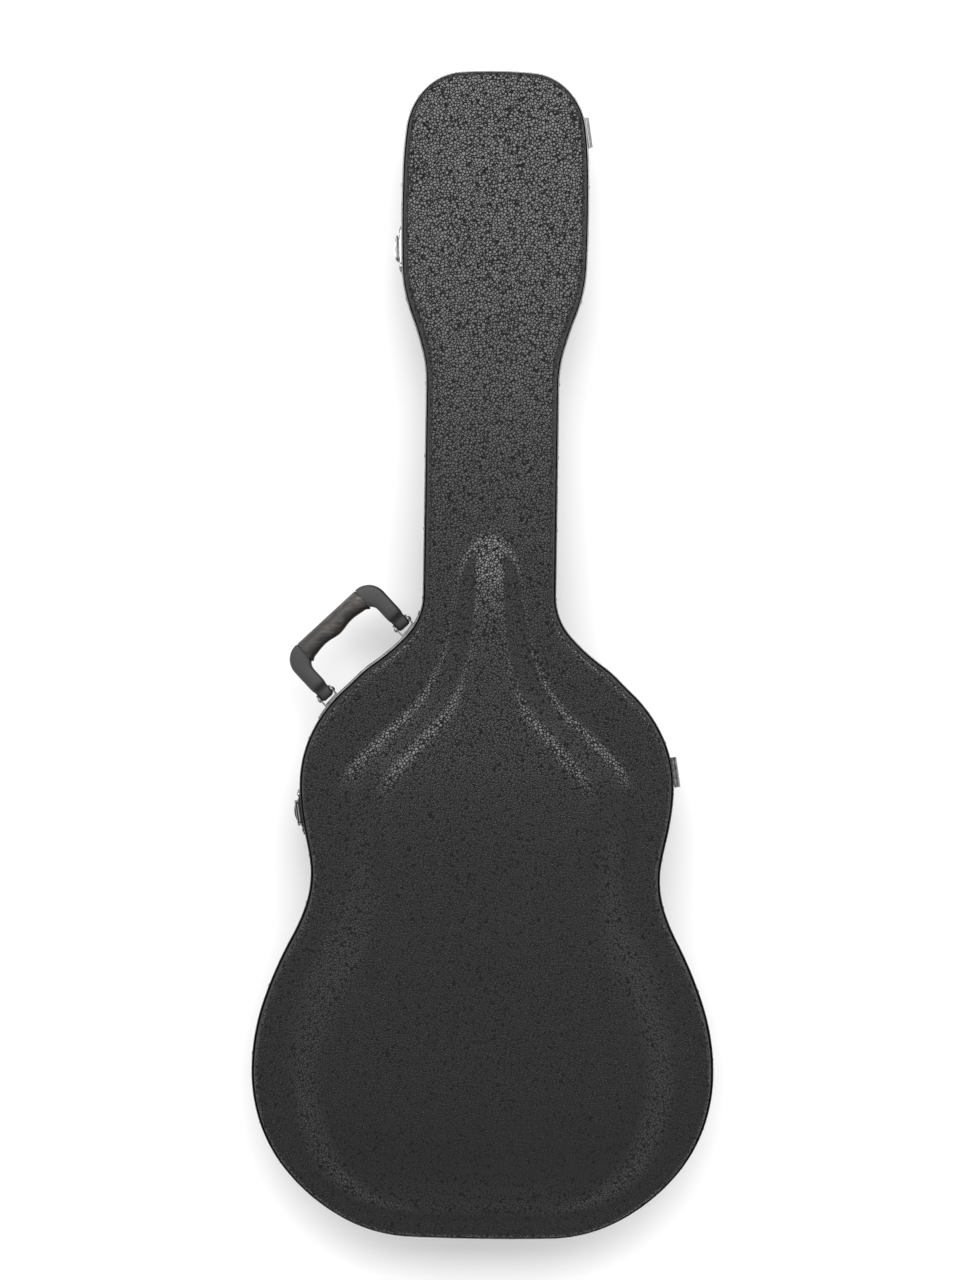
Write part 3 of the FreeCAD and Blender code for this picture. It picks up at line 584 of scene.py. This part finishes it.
# Valance
def lip_profile(way):
    """One extrusion as (inset, height from the parting plane): grooved outer lip, web, inner lip."""
    low, top = HALF_SEAM, LIP_HEIGHT
    outer = [(0.5, low), (0.0, low + 0.5), (0.0, 3.4), (0.4, 3.9), (0.4, 4.6), (0.0, 5.1), (0.0, top - 0.45),
             (0.12, top - 0.12), (0.45, top), (1.05, top - 0.05), (1.3, top - 0.45),
             (LIP - 0.05, top - 2.0), (LIP, top - 2.4)]
    inner = [(LIP, low + WEB), (INNER_LIP, low + WEB), (INNER_LIP, top - 2), (INNER_LIP_END, top - 2)]
    if way > 0:
        inner += [(INNER_LIP_END, low)]
    else:
        inner += [(INNER_LIP_END, low + WEB), (TONGUE_END, low + WEB), (TONGUE_END, -TONGUE_LENGTH),
                  (TONGUE, -TONGUE_LENGTH), (TONGUE, low)]
    return [(inset, PART_Z + way * height) for inset, height in outer + inner]


def valances():
    """The extrusion round the base and its mirror image round the lid."""
    for name, way, body in (("base_valance", -1, "base"), ("lid_valance", 1, "lid")):
        profile = lip_profile(way)
        piece = sweep(name + "_extrusion", profile, MATERIALS["aluminium"], body)
        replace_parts(piece, name)


# Lining
def soft_wave(x, y, size, seed):
    """A gentle unevenness of stuffed or glued cloth, between -size and size."""
    a = np.sin(x / 31.0 + seed) * np.cos(y / 43.0 - seed)
    b = np.sin((x + y) / 17.0 + 2.1 * seed) * np.cos((x - y) / 23.0)
    return size * (0.65 * a + 0.35 * b)


def neck_share(station):
    """0 beside the body and 1 along the neck, with a soft step between them."""
    return smooth((station - NECK_START + NECK_STEP / 2) / NECK_STEP)


def step_at_neck(station, body_z, neck_z):
    """Height of a floor that changes where the neck starts."""
    return body_z + (neck_z - body_z) * neck_share(station)


def lining_loops(flange, inner, top_z, body_z, neck_z, way, lift):
    """Rings of a plush surface: flange, rounded edge, wall, rounded foot, floor; way is 1 if it faces up."""
    floor = step_at_neck(RIM_LINE.points[:, 1], body_z, neck_z)
    turns = [math.radians(angle) for angle in (30, 60, 90)]
    loops = [RIM_LINE.loop(inset, top_z) for inset in np.linspace(flange, inner - LINING_EDGE, 4)]
    for turn in turns:
        inset = inner - LINING_EDGE * (1 - math.sin(turn))
        loops.append(RIM_LINE.loop(inset, top_z - way * LINING_EDGE * (1 - math.cos(turn))))
    foot = floor + way * LINING_FOOT
    for share in (0.2, 0.4, 0.6, 0.8, 1.0):
        height = (top_z - way * LINING_EDGE) * (1 - share) + foot * share
        bulge = 0.5 * math.sin(math.pi * share)
        loops.append(RIM_LINE.loop(inner + bulge, height))
    for turn in turns:
        inset = inner + LINING_FOOT * (1 - math.cos(turn))
        loops.append(RIM_LINE.loop(inset, floor + way * LINING_FOOT * (1 - math.sin(turn))))

    def surface(x, station):
        return step_at_neck(station, body_z, neck_z) + lift(x, station)

    return loops + inner_rings(loops[-1], 36, surface, gather=1.1)


def lining(name, node, body, flange, inner, top_z, body_z, neck_z, way, lift):
    """A plush lining of even thickness over a foam insert."""
    face = lining_loops(flange, inner, top_z, body_z, neck_z, way, lift)
    behind = way * 1.5
    back = lining_loops(flange, inner - 1.5, top_z - behind, body_z - behind, neck_z - behind, way, lift)
    vertices, faces = bridge(back[::-1] + face)
    piece = mesh_piece(name, vertices, faces, MATERIALS["plush"], body)
    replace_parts(piece, node)


def floor_lift(x, station):
    """Unevenness of the plush floor."""
    return soft_wave(x, station, 0.35, 0.4)


def base_lining():
    """Plush that faces up, deeper in the body than along the neck."""
    top = PART_Z - LIP_HEIGHT + PLUSH
    floor = WALL + FLOOR_FOAM + PLUSH
    neck = WALL + 1.5 + PLUSH
    lining("base_plush", "base_lining", "base", INNER_LIP_END + 2.2, FOAM_INSET + PLUSH, top, floor, neck, 1,
           floor_lift)


def lid_lift(x, station):
    """How far the lid's padding follows the crown, and its unevenness."""
    return crown(x, station) * (1 - neck_share(station)) + soft_wave(x, station, 0.35, 1.7)


def lid_lining():
    """Plush that faces down under the lid's pads."""
    top = PART_Z + LIP_HEIGHT - PLUSH
    body = LID_TOP_Z - WALL - LID_PAD - PLUSH
    neck = LID_TOP_Z - WALL - 1.0 - PLUSH
    lining("lid_plush", "lid_lining", "lid", INNER_LIP_END + 1.6, LID_FOAM_INSET + PLUSH, top, body, neck, -1,
           lid_lift)


def foam(name, node, body, outer, inner):
    """A foam insert between the shell (outer rings) and the back of the lining (inner rings)."""
    vertices, faces = bridge(inner[::-1] + outer)
    piece = mesh_piece(name, vertices, faces, MATERIALS["foam"], body)
    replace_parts(piece, node)


def foams():
    """Both inserts, with a little play to the shell and to the lining."""
    play = 0.4
    gap = SHELL_INSET + WALL + play
    top = PART_Z - LIP_HEIGHT
    foot = gap + BASE_DRAFT
    corners = [(gap, top), (gap, top - 1), (foot, WALL + play), (foot + 14, WALL + play)]
    face = shell_side(rounded(corners, 9.0, 5), 24, no_lift)
    floor = WALL + FLOOR_FOAM - play
    back = lining_loops(INNER_LIP_END + 2.4, FOAM_INSET - play, top - 0.2, floor, WALL + 1.2, 1, no_lift)
    foam("base_bead_foam", "base_foam", "base", face, back)
    low = PART_Z + LIP_HEIGHT
    roof = LID_TOP_Z - WALL
    foot = gap + LID_DRAFT
    corners = [(gap, low), (gap, low + 1), (foot, roof - play), (foot + 9, roof - play)]
    face = shell_side(rounded(corners, 3.0, 5), 36, crown)
    pad = roof - LID_PAD + play
    back = lining_loops(INNER_LIP_END + 1.8, LID_FOAM_INSET - play, low + 0.2, pad, roof - 0.8, -1, lid_lift)
    foam("lid_bead_foam", "lid_foam", "lid", face, back)


def node_box(node):
    """The corners of a CAD node in millimetres, with stations along Y."""
    return [(corner.x / MM, corner.y / MM + LENGTH / 2, corner.z / MM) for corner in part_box(node)]


def soft_block(name, outline, low, high, material, body, bevel=2.0):
    """A padded block: an outline in XZ carried along Y, with rounded ends."""
    centre = outline.mean(axis=0)
    length = high - low
    loops = []
    for share in (0, 0.03, 0.08, 0.15, 0.3, 0.5, 0.7, 0.85, 0.92, 0.97, 1.0):
        end = min(share, 1 - share) * length
        pull = bevel * (1 - math.sqrt(max(0.0, 1 - (1 - min(end / bevel, 1)) ** 2)))
        shrink = 1 - pull / np.linalg.norm(outline - centre, axis=1).max()
        ring = centre + (outline - centre) * shrink
        loops.append(np.column_stack([ring[:, 0], np.full(len(ring), low + share * length), ring[:, 1]]))
    vertices, faces = capped(loops)
    return mesh_piece(name, vertices, faces, material, body, 50)


def neck_blocks():
    """Cradle and nut rest: plush blocks across the neck channel, notched for the instrument's neck."""
    notch, depth = 27.0, 10.0
    for node in ("neck_cradle", "nut_rest"):
        low, high = node_box(node)
        half, bottom, top = high[0], low[2], high[2]
        right = [(half, bottom), (half, top), (notch + 1, top), (notch, top - depth)]
        left = [(-x, z) for x, z in reversed(right)]
        outline = rounded_polygon(left[-1:] + right + left[:-1], 4.0)
        piece = soft_block(node + "_pad", outline, low[1], high[1], MATERIALS["plush"], "base")
        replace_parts(piece, node)


def slab_piece(name, node, material, body, corner):
    """A thin soft piece the size of its CAD node, with round corners and soft edges."""
    (x0, y0, z0), (x1, y1, z1) = node_box(node)
    edge = min((z1 - z0) / 2, 1.4)
    outline = rounded_polygon([(x0, y0), (x1, y0), (x1, y1), (x0, y1)], corner, 6)
    centre = outline.mean(axis=0)
    span = np.array([(x1 - x0) / 2, (y1 - y0) / 2])

    def ring(inset, z):
        """The outline shrunk by inset at its middle, at one height."""
        flat = outline - (outline - centre) / span * inset
        return np.column_stack([flat, np.full(len(flat), z)])

    loops = [ring(span[0] * 0.98, z0), ring(edge * 2, z0), ring(edge * 0.4, z0 + edge * 0.3)]
    loops += [ring(0, z0 + edge), ring(0, z1 - edge), ring(edge * 0.4, z1 - edge * 0.3), ring(edge * 2, z1)]
    loops += [ring(span[0] * 0.5, z1), ring(span[0] * 0.98, z1)]
    vertices, faces = capped(loops)
    piece = mesh_piece(name, vertices, faces, material, body, 60)
    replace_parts(piece, node)
    return piece


def compartment():
    """The flap over the accessory space, its ledge, cloth hinge and pull tab."""
    flap = slab_piece("flap_board", "compartment_flap", MATERIALS["plush"], "compartment_flap", 8.0)
    ledge = slab_piece("ledge_pad", "flap_ledge", MATERIALS["plush"], "base", 2.0)
    slab_piece("hinge_tape", "flap_hinge_tape", MATERIALS["tape"], "base", 0.3)
    slab_piece("pull_tab", "flap_tab", MATERIALS["tape"], "compartment_flap", 3.0)


# Handle, in its own frame: along the shoulder, outward, up
HANDLE_HALF_WIDTH = 58.0
HANDLE_REACH = 55.0
ARM_WIDTH = 16.0
BAR_WIDTH = 20.0
HALF_DEPTH = 7.0
GRIP_HALF_LENGTH = 38.5
GRIP_RADIUS = 10.8


def handle_place(points):
    """Rows of (along, outward, up) in millimetres from the middle of the pivots, to the model's frame."""
    origin = np.array(HANDLE_AXIS["pos_m"]) / MM + (0, LENGTH / 2, 0)
    along = np.array(HANDLE_AXIS["axis"])
    outward = np.array([-along[1], along[0], 0.0])
    points = np.asarray(points, float)
    return origin + points[:, :1] * along + points[:, 1:2] * outward + points[:, 2:] * (0, 0, 1)


def arm_sections():
    """Along one arm: centre, half-width vector and half-depth of each section, from tip to grip."""
    outer_radius, inner_radius = 19.0, 9.0
    outer, inner = HANDLE_HALF_WIDTH, HANDLE_HALF_WIDTH - ARM_WIDTH
    under = HANDLE_REACH - BAR_WIDTH
    tip = ((-4.1, 4.6, 1.6), (-3.7, 2.6, 2.8), (-2.4, 1.4, 3.6), (0, 1.0, 4.1), (4, 1.0, 4.1),
           (8.2, 0.9, 4.2), (10, 0.4, 6.2), (12, 0.1, 6.9), (16, 0, HALF_DEPTH), (22, 0, HALF_DEPTH))
    sections = []
    for reach, narrow, depth in tip:
        sections.append(((outer - narrow, reach), (inner + narrow, reach), depth))
    for step in range(13):
        turn = math.radians(90 * step / 12)
        back, short = 1 - math.cos(turn), 1 - math.sin(turn)
        far = (outer - outer_radius * back, HANDLE_REACH - outer_radius * short)
        near = (inner - inner_radius * back, under - inner_radius * short)
        sections.append((far, near, HALF_DEPTH))
    sections.append(((GRIP_HALF_LENGTH, HANDLE_REACH), (GRIP_HALF_LENGTH - 6, under), HALF_DEPTH))
    return sections


def soft_square(around, across_power, up_power):
    """Points of a rounded square from -1 to 1; lower powers make it squarer."""
    points = []
    for k in range(around):
        angle = 2 * math.pi * k / around
        across, up = math.cos(angle), math.sin(angle)
        wide = math.copysign(abs(across) ** across_power, across)
        deep = math.copysign(abs(up) ** up_power, up)
        points.append((wide, deep))
    return points


def arm(name, side):
    """One arm of the bow: soft-edged bar from the pivot round the corner to the grip."""
    square = soft_square(28, 0.42, 0.42)
    loops = []
    for far, near, depth in arm_sections():
        far, near = np.array(far), np.array(near)
        if near[1] > 20:
            near[0] = max(near[0], GRIP_HALF_LENGTH)
        middle, half = (far + near) / 2, (far - near) / 2
        ring = []
        for wide, deep in square:
            along, outward = middle + half * wide
            ring.append((side * along, outward, depth * deep))
        loops.append(handle_place(ring))
    vertices, faces = capped(loops)
    return mesh_piece(name, vertices, faces, MATERIALS["handle"], "handle", 60)


def grip():
    """Moulded grip: straight outside, two finger hollows inside and a small lip at each end."""
    square = soft_square(40, 0.8, 0.85)
    steps = 64
    loops = []
    for step in range(steps + 1):
        share = 2 * step / steps - 1
        x = share * (GRIP_HALF_LENGTH - 0.2)
        hollow = 2.3 * math.sin(math.pi * abs(share) ** 0.9) ** 2
        lip = 2.2 * smooth((abs(share) - 0.86) / 0.12)
        end = 1 - 0.10 * smooth((abs(share) - 0.975) / 0.025)
        top = HANDLE_REACH - 0.2
        bottom = HANDLE_REACH - 2 * GRIP_RADIUS + hollow - lip + 0.6
        middle, half = (top + bottom) / 2, (top - bottom) / 2 * end
        depth = GRIP_RADIUS * 0.86 * end
        loops.append(handle_place([(x, middle + half * wide, depth * deep) for wide, deep in square]))
    vertices, faces = capped(loops)
    return mesh_piece("handle_grip_sleeve", vertices, faces, MATERIALS["grip"], "handle", 50)


def handle():
    """Two arms stand for the one-piece bow; the grip sleeve covers its bar."""
    upper = arm("handle_arm_upper", 1)
    arm("handle_arm_lower", -1)
    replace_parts(upper, "handle_body")
    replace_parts(grip(), "handle_grip")


# Stage, in metres
def stage():
    """A pale floor just under the case."""
    half = 6.0
    corners = [(-half, -half, 0), (half, -half, 0), (half, half, 0), (-half, half, 0)]
    mesh = bpy.data.meshes.new("floor")
    mesh.from_pydata(corners, [], [(0, 1, 2, 3)])
    floor = bpy.data.objects.new("floor", mesh)
    floor.location.z = CAD_BOX[0][2] - 0.0003
    bpy.context.scene.collection.objects.link(floor)
    n = Nodes("pale_floor")
    cloud = n.remap(n.noise(2.0, 2.0), 0.3, 0.7)
    tone = n.mix(cloud, (0.93, 0.93, 0.93), (0.95, 0.95, 0.95))
    floor.data.materials.append(n.set(Base_Color=tone, Roughness=0.9))


def camera():
    """Straight above the middle of the case, turned so that the case leans a little to the right."""
    sensor, distance, view_height = 36.0, 4.4, 1.22
    lean = math.radians(0.85)
    data = bpy.data.cameras.new("camera")
    data.sensor_fit = "VERTICAL"
    data.sensor_height = sensor
    data.lens = sensor * distance / view_height
    data.clip_end = 50.0
    eye = bpy.data.objects.new("camera", data)
    eye.location = (-0.0085, 0.014, LID_TOP_Z * MM + distance)
    eye.rotation_euler = (0, 0, lean)
    bpy.context.scene.collection.objects.link(eye)
    bpy.context.scene.camera = eye


def softbox():
    """A wide light high beyond the head end, facing straight down."""
    data = bpy.data.lights.new("head_end_softbox", "AREA")
    data.shape = "RECTANGLE"
    data.size, data.size_y = 4.2, 2.8
    data.energy = 230.0
    lamp = bpy.data.objects.new("head_end_softbox", data)
    lamp.location = (0.0, 1.9, 5.0)
    lamp.rotation_euler = Vector((0.0, 0.0, -1.0)).to_track_quat("-Z", "Y").to_euler()
    bpy.context.scene.collection.objects.link(lamp)


def sky():
    """Even light from all round, bright at the horizon and dark overhead, where the faces reflect it."""
    world = bpy.data.worlds.new("studio")
    bpy.context.scene.world = world
    world.use_nodes = True
    tree = world.node_tree
    background = tree.nodes["Background"]
    place = tree.nodes.new("ShaderNodeTexCoord")
    split = tree.nodes.new("ShaderNodeSeparateXYZ")
    tree.links.new(place.outputs["Generated"], split.inputs[0])
    ramp = tree.nodes.new("ShaderNodeMapRange")
    tree.links.new(split.outputs["Z"], ramp.inputs["Value"])
    set_ranges(ramp, 0.60, 0.94, 1.64, 0.10)
    tree.links.new(ramp.outputs["Result"], background.inputs["Strength"])
    background.inputs["Color"].default_value = (1.0, 1.0, 1.0, 1.0)


def main():
    bpy.context.scene.view_settings.view_transform = "Standard"
    camera()
    sky()
    softbox()
    stage()
    dress_cad_nodes()
    lid_shell()
    valances()
    foams()
    base_lining()
    lid_lining()
    neck_blocks()
    compartment()
    handle()


main()
